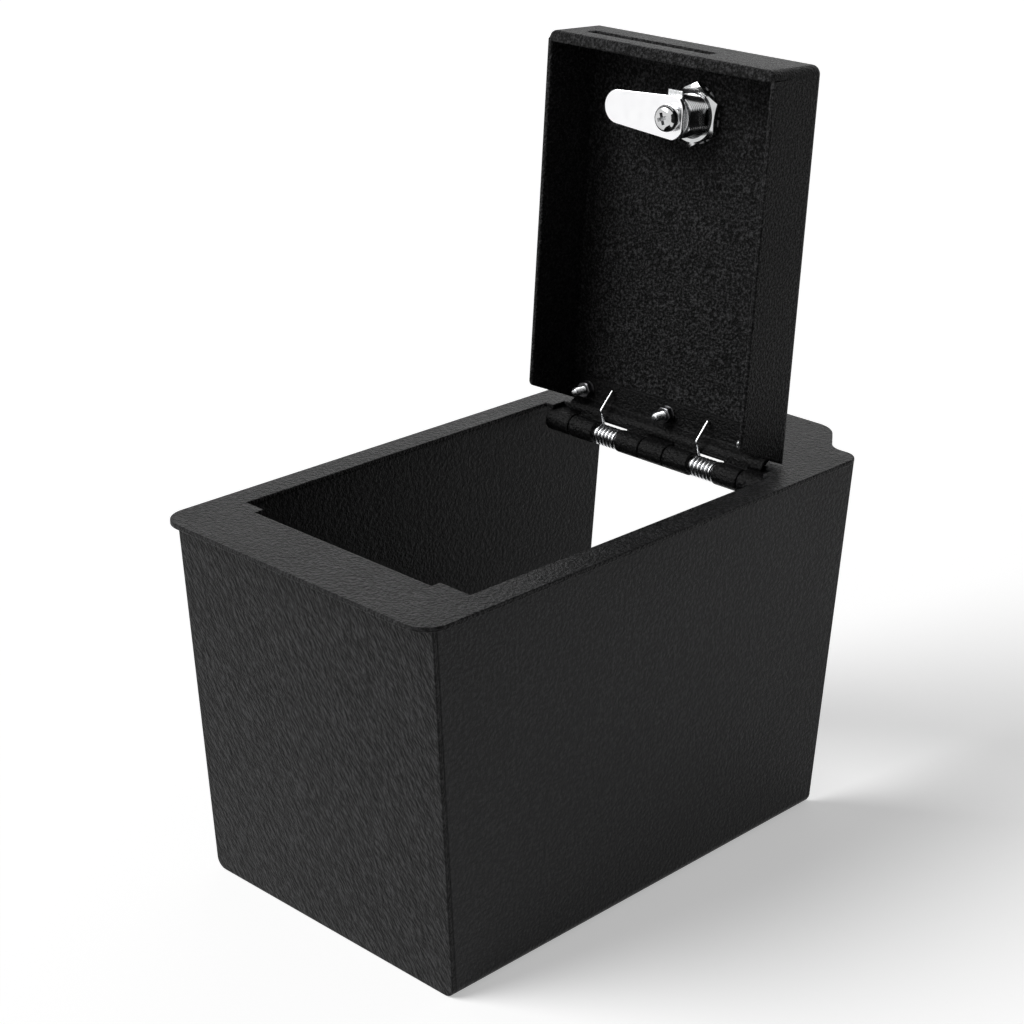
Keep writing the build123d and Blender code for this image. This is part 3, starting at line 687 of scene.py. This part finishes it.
for turn in (0, pi / 2):
    bpy.ops.object.select_all(action="DESELECT")
    bpy.ops.mesh.primitive_cube_add(size=1, location=(0, 0, screw_top))
    wing = bpy.context.object
    bpy.ops.object.transform_apply(location=True, rotation=False, scale=False)
    bpy.ops.object.mode_set(mode="EDIT")
    bpy.ops.transform.resize(value=wing_size, center_override=(0, 0, screw_top))
    pick(wing, "FACE", lambda face: face.normal.z < -0.9)
    bpy.ops.transform.resize(value=recess_taper, center_override=(0, 0, screw_top))
    bpy.ops.object.mode_set(mode="OBJECT")
    wing.data.transform(Matrix.Rotation(turn, 4, "Z"))
    work(screw_head, "DIFFERENCE", wing)
bpy.ops.object.select_all(action="DESELECT")
bpy.ops.mesh.primitive_cone_add(
    vertices=8, radius1=pit_floor, radius2=pit_radius, depth=2 * recess_depth,
    location=(0, 0, screw_top),
)
bpy.ops.object.transform_apply(location=True, rotation=False, scale=False)
work(screw_head, "DIFFERENCE", bpy.context.object)
take_up(screw_head)
bpy.ops.object.shade_smooth_by_angle(angle=thread_angle)
screw_head.name = "cam_screw_made"
screw_head.data.transform(to_lock @ Matrix.Rotation(screw_turn, 4, "Z"))
finish(screw_head, chrome, "plug", "lock_chrome", "cam_screw")

# Studio: a pale floor that keeps the safe's soft shadow, and an even white room round it.
# The key light stands at the left, high up, and a weak low one behind skims the top faces.
# A black flag at the right, unseen by the camera, gives the lock its dark reflections.
ambient = 0.15
floor_size = 12
floor_tone = 0.86
floor_lift = 0.42
key_strength, key_spread, key_towards = 2.7, 40, (-0.43, -0.64, 0.64)
back_strength, back_spread, back_towards = 0.08, 24, (-0.64, 0.74, 0.2)
flag_place = (0.36, 0.3, 0.4)
flag_height, flag_length = 0.56, 1.6
flag_tone = 0.01


def seen_directly(first):
    """1 where the camera sees a thing itself, in a reflection or through glass."""
    looks = [
        first.node("ShaderNodeLightPath", {}, {}, name)
        for name in ("Is Camera Ray", "Is Glossy Ray", "Is Transmission Ray")
    ]
    return looks[0] + looks[1] + looks[2]


bpy.ops.mesh.primitive_plane_add(size=floor_size, location=(0, 0, 0))
floor = bpy.context.object
floor.name = "floor"
floor_paint, floor_shader, floor_place = new_material("floor_paint")
floor_shader.inputs["Base Color"].default_value = (floor_tone, floor_tone, floor_tone, 1)
floor_shader.inputs["Roughness"].default_value = 1.0
floor_shader.inputs["Specular IOR Level"].default_value = 0.0
floor_shader.inputs["Emission Strength"].default_value = floor_lift
seen_directly(floor_place).feeds(floor_shader, "Emission Color")
floor.data.materials.append(floor_paint)

room = bpy.data.worlds.new("room")
bpy.context.scene.world = room
room.use_nodes = True
sky = room.node_tree.nodes["Background"]
sky.inputs["Color"].default_value = (1, 1, 1, 1)
(ambient + seen_directly(Shade(room.node_tree)) * (1 - ambient)).feeds(sky, "Strength")


def lamp(name, strength, spread, towards):
    """A distant lamp that shines from the given direction, its spread in degrees."""
    light = bpy.data.lights.new(name, "SUN")
    light.energy = strength
    light.angle = radians(spread)
    holder = bpy.data.objects.new(name, light)
    holder.rotation_euler = Vector(towards).to_track_quat("Z", "Y").to_euler()
    bpy.context.scene.collection.objects.link(holder)


lamp("key_light", key_strength, key_spread, key_towards)
lamp("back_light", back_strength, back_spread, back_towards)

bpy.ops.mesh.primitive_plane_add(size=1, location=flag_place, rotation=(0, pi / 2, 0))
flag = bpy.context.object
flag.name = "black_flag"
flag.scale = (flag_height, flag_length, 1)
flag.visible_camera = False
flag.visible_shadow = False
flag_cloth, flag_shader, _ = new_material("flag_cloth")
flag_shader.inputs["Base Color"].default_value = (flag_tone, flag_tone, flag_tone, 1)
flag_shader.inputs["Roughness"].default_value = 1.0
flag.data.materials.append(flag_cloth)

# Camera: in front of the safe at its right, above the open lid's lock, as in the photograph.
# The lens is the one that gives the photograph's perspective.
camera_lens = 83.28
camera_place = (0.6568, -0.6955, 0.5407)
camera_round, camera_down, camera_roll = 44.084, 21.91, 0.70     # degrees
camera_data = bpy.data.cameras.new("camera")
camera_data.lens = camera_lens
camera = bpy.data.objects.new("camera", camera_data)
camera.matrix_world = (
    Matrix.Translation(camera_place)
    @ Matrix.Rotation(radians(camera_round), 4, "Z")
    @ Matrix.Rotation(radians(90 - camera_down), 4, "X")
    @ Matrix.Rotation(radians(camera_roll), 4, "Z")
)
bpy.context.scene.collection.objects.link(camera)
bpy.context.scene.camera = camera
bpy.context.scene.view_settings.view_transform = "Standard"
